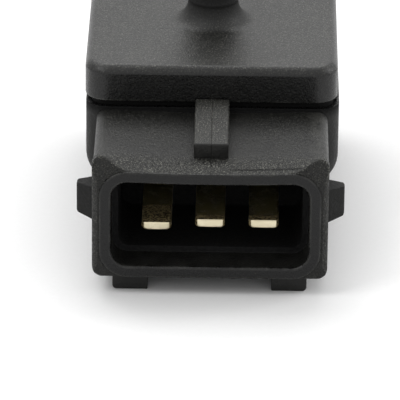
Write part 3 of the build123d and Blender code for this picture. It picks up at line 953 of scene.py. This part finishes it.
@dataclass
class Body:
    """Body behind the shroud: a wide rim that curves in to a narrower tub, open above as a chamber."""

    levels: Levels
    half_width: float = 12.1
    tub_half: float = 9.7
    taper_level: float = 6.35
    taper_blend: float = 3.0
    corner: float = 2.0
    tub_corner: float = 1.2
    floor_round: float = 1.0
    rim_round: float = 0.06
    groove_inset: float = 0.55
    groove_width: float = 0.9
    groove_depth: float = 1.3
    wall: float = 2.0
    edge: float = 0.04
    # first and last level of the rows across the taper, and of those below and above it
    taper_levels: tuple[float, float] = (3.955, 7.79)
    plain_levels: tuple[float, float] = (3.89, 8.09)
    # painted shade: the body darker and rougher, and its rim's edges near black in the lid's shade
    shade_and_dullness: float = 0.2
    rim_shade_and_dullness: float = 1.0

    def half_width_at(self, level: float) -> float:
        """Half width of the body at a level.

        Formula: upright above, then a quarter circle's first eighth of a turn, then a slope of 45
        degrees down to the tub.

        Args:
            level: Height in mm.

        Returns:
            Half width in mm.
        """
        arc_top = self.taper_level + self.taper_blend * math.tan(math.pi / 8)
        arc_drop = self.taper_blend * math.sin(math.pi / 4)
        drop = min(max(arc_top - level, 0.0), arc_drop)
        arc = self.half_width - self.taper_blend + math.sqrt(self.taper_blend**2 - drop**2)
        slope = self.half_width - (self.taper_level - level)
        return max(arc if level > arc_top - arc_drop else slope, self.tub_half)

    def plan_row(self, level: float, inset: float = 0.0) -> np.ndarray:
        """Row round the body at one level, moved inwards by an inset.

        Args:
            level: Height in mm.
            inset: Distance inwards.

        Returns:
            Points by three.
        """
        half = self.half_width_at(level)
        share = (half - self.tub_half) / (self.half_width - self.tub_half)
        radius = max(self.tub_corner + (self.corner - self.tub_corner) * share - inset, 0.2)
        loop = rounded_loop((-half + inset, self.levels.body_front + inset), (half - inset, self.levels.rear - inset),
                            (radius,) * 4, (24, 24))
        return level_row(loop, level)

    def surface(self) -> Sheet:
        """Skin from the underside up the outside, over the rim, through the groove and into the chamber.

        Returns:
            The closed sheet.
        """
        base, top, edge = self.levels.base, self.levels.rim_top, self.edge
        groove, outer, inner = top - self.groove_depth, self.groove_inset, self.groove_inset + self.groove_width
        stations = [(base, self.floor_round + 0.3)]
        stations += [(base + rise, inset) for inset, rise in rounding(self.floor_round, 8)]
        for first, last, count in ((base + self.floor_round + 0.2, self.plain_levels[0], 4), (*self.taper_levels, 30),
                                   (self.plain_levels[1], top - self.rim_round - 0.05, 6)):
            stations += [(float(level), 0.0) for level in np.linspace(first, last, count)]
        stations += [(top - below, inset) for below, inset in rounding(self.rim_round, 5)]
        stations += [(top, outer - edge), (top - edge, outer), (groove, outer), (groove, inner), (top - edge, inner),
                     (top, inner + edge), (top, self.wall - edge), (top - edge, self.wall),
                     (self.levels.chamber_floor, self.wall)]
        level = np.array([station[0] for station in stations])
        flat = level > top - 0.001
        rounding_rows = (level > top - 2.0 * self.rim_round) & ~flat
        return Sheet(np.stack([self.plan_row(*station) for station in stations]), marks={
            "dull": np.where(flat, 0.0, np.where(rounding_rows, self.rim_shade_and_dullness, self.shade_and_dullness)),
            "polish": flat.astype(float)})


@dataclass
class LatchEar:
    """Wedge on the side of the shroud that a plug's clip snaps behind."""

    root: float = 11.015
    reach: float = 1.53
    near: float = -17.05
    far: float = -14.45
    front_slant: float = 1.04
    rear_slant: float = 0.7
    low: float = 6.475
    high: float = 9.825
    under_slant: float = 0.33
    edge: float = 0.2
    corner: float = 0.12
    # painted shade: the ears darker, where the shroud and lid shade them, and also rougher
    shade_and_dullness: float = 0.45

    def surface(self, hand: Hand) -> Sheet:
        """Skin of one ear, carried outwards from inside the shroud.

        Formula: at a share s of the reach, the section's front edge has moved back by front slant x s,
        its rear edge forward by rear slant x s and its underside up by under slant x s; the last rows
        draw in as a quarter circle.

        Args:
            hand: Side that the ear is on.

        Returns:
            The closed sheet.
        """
        stations = [(float(out), 0.0) for out in (-0.8, -0.2, *np.linspace(0.0, self.reach - self.edge, 6))]
        stations += [(self.reach - back, inset) for back, inset in rounding(self.edge, 6)[1:]]
        rows = []
        for out, inset in stations:
            share = max(out, 0.0) / self.reach
            loop = rounded_loop(
                (self.near + self.front_slant * share + inset, self.low + self.under_slant * share + inset),
                (self.far - self.rear_slant * share - inset, self.high - inset), (self.corner,) * 4, (8, 16), 6)
            across = np.full((len(loop), 1), (self.root + out) * hand.value)
            rows.append(np.concatenate([across, loop], axis=1))
        return Sheet(np.stack(rows), marks={"dull": np.full(len(rows), self.shade_and_dullness)})


@dataclass(frozen=True)
class Bar:
    """Straight bar along Y with a rounded section, drawn in at both ends.

    Attributes:
        low: Lowest X and Z of its section.
        high: Highest X and Z of its section.
        front: Its front end.
        rear: Its rear end.
        end_round: Rounding of its ends.
        radii: Radius at the lower right, upper right, upper left and lower left corner.
        rows: Rows along each rounded end and between the two.
        edges: Points along a level side and along an upright side.
        wear_and_highlight: Lighter colour all over, painted light on the nose.
        specks_and_glints: White specks behind the front end, fibres and painted glints.
    """

    low: tuple[float, float]
    high: tuple[float, float]
    front: float
    rear: float
    end_round: float
    radii: tuple[float, float, float, float]
    rows: tuple[int, int]
    edges: tuple[int, int]
    wear_and_highlight: float = 0.0
    specks_and_glints: float = 0.0

    def surface(self, hand: Hand = Hand.RIGHT) -> Sheet:
        """Skin of the bar: its section carried along Y.

        Args:
            hand: Side that the bar is on.

        Returns:
            The closed sheet.
        """
        steps = rounding(self.end_round, self.rows[0])
        stations = [(self.front + back, inset) for back, inset in steps[::-1]]
        stations += [(float(y), 0.0) for y in np.linspace(self.front + 0.3, self.rear - 0.3, self.rows[1])]
        stations += [(self.rear - back, inset) for back, inset in steps]
        rows = []
        for y, inset in stations:
            loop = rounded_loop((self.low[0] + inset, self.low[1] + inset),
                                (self.high[0] - inset, self.high[1] - inset), self.radii, self.edges, 7)
            loop[:, 0] *= hand.value
            rows.append(upright_row(loop, y))
        behind_front = np.arange(len(rows)) >= len(steps)
        return Sheet(np.stack(rows), marks={"wear_and_highlight": np.full(len(rows), self.wear_and_highlight), "specks_and_glints": self.specks_and_glints * behind_front})


@dataclass
class Housing:
    """The one black moulding: shroud, body, ears, the bar along the roof, and the rails that it stands on."""

    levels: Levels
    # the nose is painted lighter all over, as its top stands in more light, and carries painted glints
    nose: Bar = Bar(low=(-1.62, 12.08), high=(1.62, 13.93), front=-15.95, rear=-5.5, end_round=0.17,
                    radii=(0.1, 0.17, 0.17, 0.1), rows=(6, 8), edges=(16, 12), wear_and_highlight=0.15, specks_and_glints=0.45)
    rail: Bar = Bar(low=(5.8, 0.0), high=(9.12, 2.36), front=-18.45, rear=18.65, end_round=0.12,
                    radii=(0.4, 0.1, 0.1, 0.12), rows=(5, 6), edges=(14, 10))
    finish: MouldedPolyester = MouldedPolyester("black_pbt_housing", Grain.HOUSING, parting_x=0.02)

    def build(self) -> list[Object]:
        """Makes the pieces of the housing and dresses them.

        Returns:
            The pieces.
        """
        pieces = [
            make_piece("shroud", [Shroud(self.levels).surface()], 60.0),
            make_piece("body", [Body(self.levels).surface()]),
            make_piece("latch_ears", [LatchEar().surface(hand) for hand in Hand]),
            make_piece("latch_nose", [self.nose.surface()]),
            make_piece("rails", [self.rail.surface(hand) for hand in Hand]),
        ]
        material = self.finish.make()
        for piece in pieces:
            dress(piece, material)
            stand_for(piece, "housing")
        return pieces


@dataclass
class Lid:
    """Cap of the sensor with its tongue and hose nipple, as one closed skin.

    It sits a tenth of a millimetre aside on the housing, as the play round its tongue allows.
    """

    levels: Levels
    aside: float = -0.12
    half_width: float = 12.05
    half_length: float = 12.5
    corner: float = 2.3
    # the body under the lid is wider by the play, with its own corner
    play: float = 0.05
    body_corner: float = 2.0
    edge: float = 0.7
    edge_flatness: float = 0.5
    lip_round: float = 0.12
    wall: float = 1.75
    roof: float = 1.6
    tongue_outer: float = 0.75
    tongue_inner: float = 1.25
    tongue_bottom: float = 11.93
    neck_radius: float = 2.42
    flare: float = 1.7
    flare_height: float = 2.1
    flare_turn: float = 0.97
    flare_steps: int = 14
    step: float = 0.06
    step_height: float = 0.35
    barb_foot: float = 6.6
    barb_rise: float = 0.7
    barb_land: float = 0.6
    barb_radius: float = 2.8
    height: float = 10.6
    tip_radius: float = 2.0
    tip_round: float = 0.25
    bore: float = 1.0
    bore_round: float = 0.12
    # white specks: fibres and painted glints
    specks_and_glints: float = 0.22
    wall_polish: float = 0.8
    edge_rows: int = 12
    flare_rows: int = 16
    # painted shade: the nipple darker, and rougher, from its flare up
    nipple_shade_and_dullness: float = 0.75
    lip_rows: int = 5
    # painted highlight along the lid's lower edge
    lip_highlight: float = 0.9
    finish: MouldedPolyester = MouldedPolyester("black_pbt_lid", Grain.LID, roughness=0.4, fine_share=0.2, ior=1.42)

    def plan(self, inset: float, body_side: bool = False) -> np.ndarray:
        """Rounded rectangle of the lid's plan, moved inwards by an inset from the lid or from the body.

        Args:
            inset: Distance inwards.
            body_side: True to measure from the body's outline.

        Returns:
            Points by two.
        """
        play, corner = (self.play, self.body_corner) if body_side else (0.0, self.corner)
        half_x, half_y = self.half_width + play - inset, self.half_length + play - inset
        loop = rounded_loop((-half_x, -half_y), (half_x, half_y), (max(corner - inset, 0.3),) * 4, (44, 44), 12)
        return loop + np.array([self.aside, self.levels.axis_y])

    def circle(self, radius: float) -> np.ndarray:
        """Circle round the nipple's axis whose points stand in the same directions as the plan's.

        Args:
            radius: Radius in mm.

        Returns:
            Points by two.
        """
        axis = np.array([self.aside, self.levels.axis_y])
        away = self.plan(0.0) - axis
        turn = np.arctan2(away[:, 1], away[:, 0])
        return radius * np.stack([np.cos(turn), np.sin(turn)], axis=1) + axis

    def nipple_profile(self) -> list[tuple[float, float]]:
        """Radius and height of the nipple from its flare, over the barb and tip, down to the bore's end.

        Returns:
            Pairs of radius and height.
        """
        top, neck, barb = self.levels.lid_top, self.neck_radius, self.barb_radius
        flare_top, foot, tip = top + self.flare_height, top + self.barb_foot, top + self.height
        crest = foot + self.barb_rise
        land = crest + self.barb_land
        profile = [(neck + self.flare * (1.0 - math.sin(turn)), top + self.flare_height * (1.0 - math.cos(turn)))
                   for turn in np.linspace(0.0, math.pi / 2 * self.flare_turn, self.flare_steps)]
        profile += [(neck + self.step, flare_top), (neck + self.step, flare_top + 0.2),
                    (neck, flare_top + self.step_height), (neck, top + 3.1), (neck, foot - 0.25)]
        profile += [(neck + 0.02, foot - 0.08), (neck + 0.1, foot + 0.1), (barb - 0.08, crest - 0.12),
                    (barb - 0.02, crest), (barb, crest + 0.1)]
        profile += [(barb, land - 0.1), (barb - 0.03, land), (barb - 0.09, land + 0.2)]
        profile += [(self.tip_radius - inwards, tip - below) for below, inwards in rounding(self.tip_round, 6)]
        profile += [(self.bore + out, tip - below) for out, below in rounding(self.bore_round, 5)]
        return profile + [(self.bore, tip - 1.0), (self.bore, top - self.roof + 0.1), (self.bore, top - self.roof)]

    def surface(self) -> Sheet:
        """Closed skin: lip, outer wall, rounded top edge, roof, nipple, bore, ceiling, inner wall and tongue.

        Formula: the top edge is part way between a quarter circle and the straight line across it. On
        the roof, the rows run in straight lines from the rounded rectangle to the circle at the foot
        of the flare, point to matching point.

        Returns:
            The closed sheet.
        """
        bottom, top = self.levels.lid_bottom, self.levels.lid_top
        ceiling, lip = top - self.roof, self.lip_round
        rows = [level_row(self.plan(inset), bottom + rise) for inset, rise in rounding(lip, self.lip_rows)]
        rows += [level_row(self.plan(0.0), float(z))
                 for z in np.linspace(bottom + lip + 0.1, top - self.edge - 0.08, 6)]
        wall_rows = len(rows)
        rows += [level_row(self.plan(inwards), top - below)
                 for below, inwards in flattened_rounding(self.edge, 13, self.edge_flatness)]
        profile = self.nipple_profile()
        nipple_rows = [level_row(self.circle(radius), z) for radius, z in profile]
        rows += between(rows[-1], nipple_rows[0], (0.02, 0.12, 0.3, 0.5, 0.7, 0.88, 0.97))
        foot_row = len(rows)
        rows += nipple_rows
        rows += between(rows[-1], level_row(self.plan(self.wall - 0.05), ceiling), (0.05, 0.4, 0.8, 0.99))
        rows += [level_row(self.plan(self.wall), z) for z in (ceiling - 0.05, bottom)]
        tongue = ((self.tongue_inner, bottom), (self.tongue_inner, self.tongue_bottom),
                  (self.tongue_outer, self.tongue_bottom), (self.tongue_outer, bottom))
        rows += [level_row(self.plan(inset, True), z) for inset, z in tongue]
        number = np.arange(len(rows))
        nipple = (number >= foot_row) & (number < foot_row + len(profile))
        above_foot = held(number - foot_row, self.flare_rows) * nipple
        return Sheet(np.stack(rows), ring=True, marks={
            "polish": self.wall_polish * (1.0 - held(number - wall_rows, self.edge_rows)),
            "dull": self.nipple_shade_and_dullness * above_foot, "specks_and_glints": self.specks_and_glints * (1.0 - above_foot),
            "wear_and_highlight": self.lip_highlight * (number < self.lip_rows)})

    def build(self) -> Object:
        """Makes the lid and dresses it.

        Returns:
            The piece.
        """
        piece = make_piece("lid_with_nipple", [self.surface()])
        dress(piece, self.finish.make())
        return stand_for(piece, "lid")


@dataclass
class Blade:
    """Flat blade terminal with a rounded tip; a bent one turns down in front of its knee."""

    levels: Levels
    number: int
    place: float
    bend: float = 0.0
    half_width: float = 1.4
    half_thickness: float = 0.4
    tip: float = -18.45
    tip_corner: float = 0.5
    bevel: float = 0.1
    side_round: float = 0.06
    coined_round: float = 0.28
    coined_length: float = 1.1
    bend_length: float = 3.2
    neck_half: float = 0.95
    neck: tuple[float, float] = (-6.4, -4.05)
    rear: float = -1.25
    # the plating stays bright along the upper edges, between these two points of a section
    edge_clean: float = 0.9
    edge_points: tuple[int, int] = (20, 50)

    def half_width_at(self, run: float) -> float:
        """Half width at a distance behind the tip: a quarter circle, then straight."""
        back = max(self.tip_corner - run, 0.0)
        return self.half_width - self.tip_corner + math.sqrt(self.tip_corner**2 - back**2)

    def surface(self) -> Sheet:
        """Skin of the blade, carried along its middle line.

        Formula: the middle line is straight behind the knee, and before it falls away at the bend
        angle; a section stands square to it, and its half thickness grows over the bevel.

        Returns:
            The closed sheet.
        """
        knee = self.tip + self.bend_length
        tip_runs = [inwards for _, inwards in rounding(self.tip_corner, 9)]
        runs = np.unique(np.round(np.concatenate([
            tip_runs, [0.04, self.bevel], np.linspace(0.7, self.bend_length - 0.12, 8),
            self.bend_length + np.linspace(-0.06, 0.06, 5)]), 5))
        thick = self.half_thickness - self.bevel * np.maximum(1.0 - runs / self.bevel, 0.0)
        rows = [self.section(run - self.bend_length, self.half_width_at(run), depth) for run, depth in zip(runs, thick)]
        wide, narrow = self.half_width, self.neck_half
        for y, half in ((self.neck[0] - 0.01, wide), (self.neck[0], narrow), (self.neck[1], narrow),
                        (self.neck[1] + 0.01, wide), (self.rear - 0.02, wide), (self.rear, wide - 0.02)):
            rows.append(self.section(y - knee, half, self.half_thickness))
        points = np.stack(rows)
        behind = np.concatenate([runs, np.full(len(rows) - len(runs), self.bend_length + 1.0)])[:, None]
        number = np.arange(points.shape[1])
        upper = (number >= self.edge_points[0]) & (number < self.edge_points[1])
        edges = (np.abs(points[:, :, 0] - self.place) > self.half_width - self.side_round) & upper
        rubbed = self.bend_length if self.bend else self.coined_length
        return Sheet(points, marks={
            "polish": np.maximum(behind < self.bevel, self.edge_clean * edges),
            "wear_and_highlight": ((behind >= self.bevel) & (behind < rubbed)) * (1.0 - edges)})

    def section(self, along: float, half: float, thick: float) -> np.ndarray:
        """Row of points round the blade at a distance along it from the knee.

        Args:
            along: Distance from the knee, less than zero towards the tip.
            half: Half width.
            thick: Half thickness.

        Returns:
            Points by three.
        """
        coined = 1.0 - float(held(along + self.bend_length, self.coined_length))
        under = self.side_round + (self.coined_round - self.side_round) * coined
        loop = rounded_loop((-half, -thick), (half, thick), (under, self.side_round, self.side_round, under),
                            (12, 4), 7)
        slope = math.radians(self.bend) if along < 0.0 else 0.0
        y = self.tip + self.bend_length + along * math.cos(slope) - loop[:, 1] * math.sin(slope)
        z = self.levels.blade_z + along * math.sin(slope) + loop[:, 1] * math.cos(slope)
        return np.stack([loop[:, 0] + self.place, y, z], axis=1)

    def build(self, material: Material) -> Object:
        """Makes the blade and dresses it.

        Args:
            material: Finish of the blade.

        Returns:
            The piece.
        """
        piece = make_piece(f"blade_{self.number}", [self.surface()], 40.0)
        dress(piece, material)
        return stand_for(piece, f"terminal_{self.number}")


@dataclass
class Terminals:
    """The three blades in the connector's mouth, the first one bent down, by an angle in degrees."""

    levels: Levels
    pitch: float = 5.0
    first_bend: float = 6.4
    finish: TinnedBrass = TinnedBrass("tinned_brass_strip")

    def build(self) -> list[Object]:
        """Makes the blades.

        Returns:
            The pieces.
        """
        material = self.finish.make()
        return [Blade(self.levels, number, (number - 2) * self.pitch, bend).build(material)
                for number, bend in ((1, self.first_bend), (2, 0.0), (3, 0.0))]


@dataclass
class Circuit:
    """Parts in the closed chamber, which keep their CAD shapes and get their own finishes."""

    nodes: dict[str, Object]

    def finishes(self) -> dict[str, InnerFinish]:
        """Finish of each kind of part.

        Returns:
            Finish for the start of each node's name.
        """
        return {
            # one-part epoxy bead in its groove, black and dull: painted shade for the dark joint under the lid
            "lid_adhesive": InnerFinish("epoxy_bead_painted_shade", "#050505", "#0b0b0a", 0.6, 0.7, 0.02, ior=1.25),
            # silicone film: milky white and soft
            "board_adhesive": InnerFinish("silicone_film", "#d9d9d2", "#c4c4bc", 0.5, 0.6, 0.01, ior=1.41),
            # fired alumina board: warm white, matt, fine grit
            "circuit_board": InnerFinish("fired_alumina", "#e6e2d4", "#d3cdbb", 0.2, 0.55, 0.006, ior=1.76),
            # borosilicate glass base: clear with sawn sides
            "cell_base": InnerFinish("sawn_glass", "#dfeeea", "#cfe2dd", 0.3, 0.18, 0.003, ior=1.47, transmission=0.85),
            # polished silicon: grey mirror with a blue cast
            "sensor_die": InnerFinish("polished_silicon", "#4a4f5c", "#5c6270", 0.8, 0.12, 0.001, 0.6),
            # moulded dam: dark grey plastic
            "gel_dam": InnerFinish("moulded_dam_plastic", "#2c2c2f", "#3a3a3e", 0.2, 0.5, 0.01),
            # fluorosilicone gel: clear and wet
            "protective_gel": InnerFinish("clear_gel", "#eaf2f2", "#dfe9ea", 1.5, 0.06, 0.004, ior=1.4,
                                          transmission=0.9),
            # epoxy moulded chip: black, fine grain
            "signal_chip": InnerFinish("epoxy_moulded_chip", "#1b1b1c", "#2a2a2b", 0.12, 0.45, 0.006),
            # capacitor body: fired tan ceramic
            "capacitor": InnerFinish("fired_tan_ceramic", "#a5886a", "#92775b", 0.15, 0.4, 0.004, ior=1.7),
            # resistor: glazed film over ceramic
            "resistor": InnerFinish("glazed_resistor_film", "#19191b", "#26262a", 0.3, 0.22, 0.003, ior=1.55),
            # aluminium bonding ribbon: bright, rolled
            "bond_ribbon": InnerFinish("rolled_aluminium_ribbon", "#d8d9db", "#bfc1c4", 0.1, 0.28, 0.002, 1.0),
        }

    def build(self) -> list[str]:
        """Dresses each CAD node of the circuit.

        Returns:
            Names of the dressed nodes.
        """
        dressed = []
        for stem, finish in self.finishes().items():
            material = finish.make()
            for name, node in self.nodes.items():
                if name == stem or name.rstrip("0123456789").rstrip("_") == stem:
                    dress(node, material)
                    dressed.append(name)
        return dressed


@dataclass(frozen=True)
class Softbox:
    """Rectangular soft lamp: its name, its place and the point that it faces, its size in mm and its watts."""

    name: str
    place: tuple[float, float, float]
    aim: tuple[float, float, float]
    size: tuple[float, float]
    power: float

    def add(self) -> None:
        """Adds the lamp to the scene."""
        light = bpy.data.lights.new(self.name, "AREA")
        light.shape = "RECTANGLE"
        light.size, light.size_y = (side * MM for side in self.size)
        light.energy = self.power
        lamp = add_object(self.name, light)
        lamp.location = Vector(self.place) * MM
        lamp.rotation_euler = (Vector(self.aim) - Vector(self.place)).to_track_quat("-Z", "Y").to_euler()


@dataclass
class Studio:
    """White paper and surroundings, soft light from above and the camera, with angles in degrees."""

    camera_place: tuple[float, float, float] = (2.925, -417.407, 195.366)
    camera_elevation: float = 25.0
    camera_turn: float = 0.558
    camera_roll: float = 0.595
    lens: float = 425.62
    sensor_width: float = 36.0
    clip: tuple[float, float] = (0.02, 20.0)
    ambient: float = 0.62
    floor_half: float = 700.0
    floor_gain: float = 1.08
    paper: tuple[str, str] = ("#f4f4f4", "#f8f8f8")
    paper_tooth: float = 0.5
    lamps: tuple[Softbox, ...] = (
        Softbox("softbox_above", (-40.0, 170.0, 300.0), (0.0, 0.0, 8.0), (330.0, 260.0), 0.65),
        Softbox("softbox_left", (-200.0, -110.0, 290.0), (0.0, -5.0, 8.0), (130.0, 150.0), 0.26),
        Softbox("softbox_right", (310.0, 60.0, 215.0), (0.0, -5.0, 8.0), (160.0, 200.0), 0.34),
    )

    def add_camera(self) -> None:
        """Adds the camera and makes it the scene's.

        Formula: it looks down by its elevation and aside by its turn, and its picture is then rolled.
        """
        e, a, roll = (math.radians(v) for v in (self.camera_elevation, self.camera_turn, self.camera_roll))
        ahead = Vector((-math.sin(a) * math.cos(e), math.cos(a) * math.cos(e), -math.sin(e)))
        right = Vector((math.cos(a), math.sin(a), 0.0))
        up = right.cross(ahead)
        rolled_right = right * math.cos(roll) + up * math.sin(roll)
        rolled_up = up * math.cos(roll) - right * math.sin(roll)
        turn = Matrix((rolled_right, rolled_up, -ahead)).transposed().to_4x4()
        lens = bpy.data.cameras.new("camera")
        lens.sensor_width, lens.lens = self.sensor_width, self.lens
        lens.clip_start, lens.clip_end = self.clip
        camera = add_object("camera", lens)
        camera.matrix_world = Matrix.Translation(Vector(self.camera_place) * MM) @ turn
        bpy.context.scene.camera = camera

    def add_world(self) -> None:
        """White surroundings: full strength to the camera and in reflections, lower as light."""
        world = bpy.data.worlds.new("studio")
        world.use_nodes = True
        tree = world.node_tree
        tree.nodes.clear()
        path = add_node(tree, "ShaderNodeLightPath").outputs
        shown = path["Is Camera Ray"]
        for ray in ("Is Glossy Ray", "Is Transmission Ray"):
            shown = add_node(tree, "ShaderNodeMath", {0: shown, 1: path[ray]}, operation="MAXIMUM").outputs[0]
        strength = add_node(tree, "ShaderNodeMapRange", {"Value": shown, "To Min": self.ambient, "To Max": 1.0})
        light = add_node(tree, "ShaderNodeBackground", {"Color": (1.0, 1.0, 1.0, 1.0), "Strength": strength.outputs[0]})
        add_node(tree, "ShaderNodeOutputWorld", {"Surface": light.outputs[0]})
        bpy.context.scene.world = world

    def add_floor(self) -> None:
        """Adds the white paper under the sensor, which keeps its shadow."""
        half = self.floor_half * MM
        mesh = bpy.data.meshes.new("floor")
        corners = [(-half, -half, 0.0), (half, -half, 0.0), (half, half, 0.0), (-half, half, 0.0)]
        mesh.from_pydata(corners, [], [(0, 1, 2, 3)])
        floor = add_object("floor", mesh)
        material, tree = new_material("white_paper")
        path = add_node(tree, "ShaderNodeLightPath")
        place = add_node(tree, "ShaderNodeTexCoord").outputs["Object"]
        tooth = add_node(tree, "ShaderNodeTexNoise",
                         {"Vector": place, "Scale": 1.0 / (self.paper_tooth * MM), "Detail": 2.0})
        dark, pale = (linear_colour(code) for code in self.paper)
        shade = add_node(tree, "ShaderNodeMix", {0: tooth.outputs["Fac"], 6: dark, 7: pale}, data_type="RGBA")
        gain = add_node(tree, "ShaderNodeMapRange",
                        {"Value": path.outputs["Is Camera Ray"], "To Min": 1.0, "To Max": self.floor_gain})
        shown = add_node(tree, "ShaderNodeVectorMath", {0: shade.outputs[2], 3: gain.outputs[0]}, operation="SCALE")
        paper = add_node(tree, "ShaderNodeBsdfDiffuse", {"Color": shown.outputs[0]})
        add_node(tree, "ShaderNodeOutputMaterial", {"Surface": paper.outputs[0]})
        dress(floor, material)

    def build(self) -> None:
        """Adds the camera, the surroundings, the floor and the lamps, and sets the plain view transform."""
        self.add_camera()
        self.add_world()
        self.add_floor()
        for lamp in self.lamps:
            lamp.add()
        bpy.context.scene.view_settings.view_transform = "Standard"


def main() -> None:
    """Builds the sensor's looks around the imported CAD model."""
    logging.basicConfig(level=logging.INFO, format="%(name)s: %(message)s")
    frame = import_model()
    levels = Levels()
    Studio().build()
    for piece in (*Housing(levels).build(), Lid(levels).build(), *Terminals(levels).build()):
        LOG.info("piece %s, %d faces", piece.name, len(piece.data.polygons))
    for name in Circuit(frame["nodes"]).build():
        LOG.info("CAD node %s dressed", name)


if __name__ == "__main__":
    main()
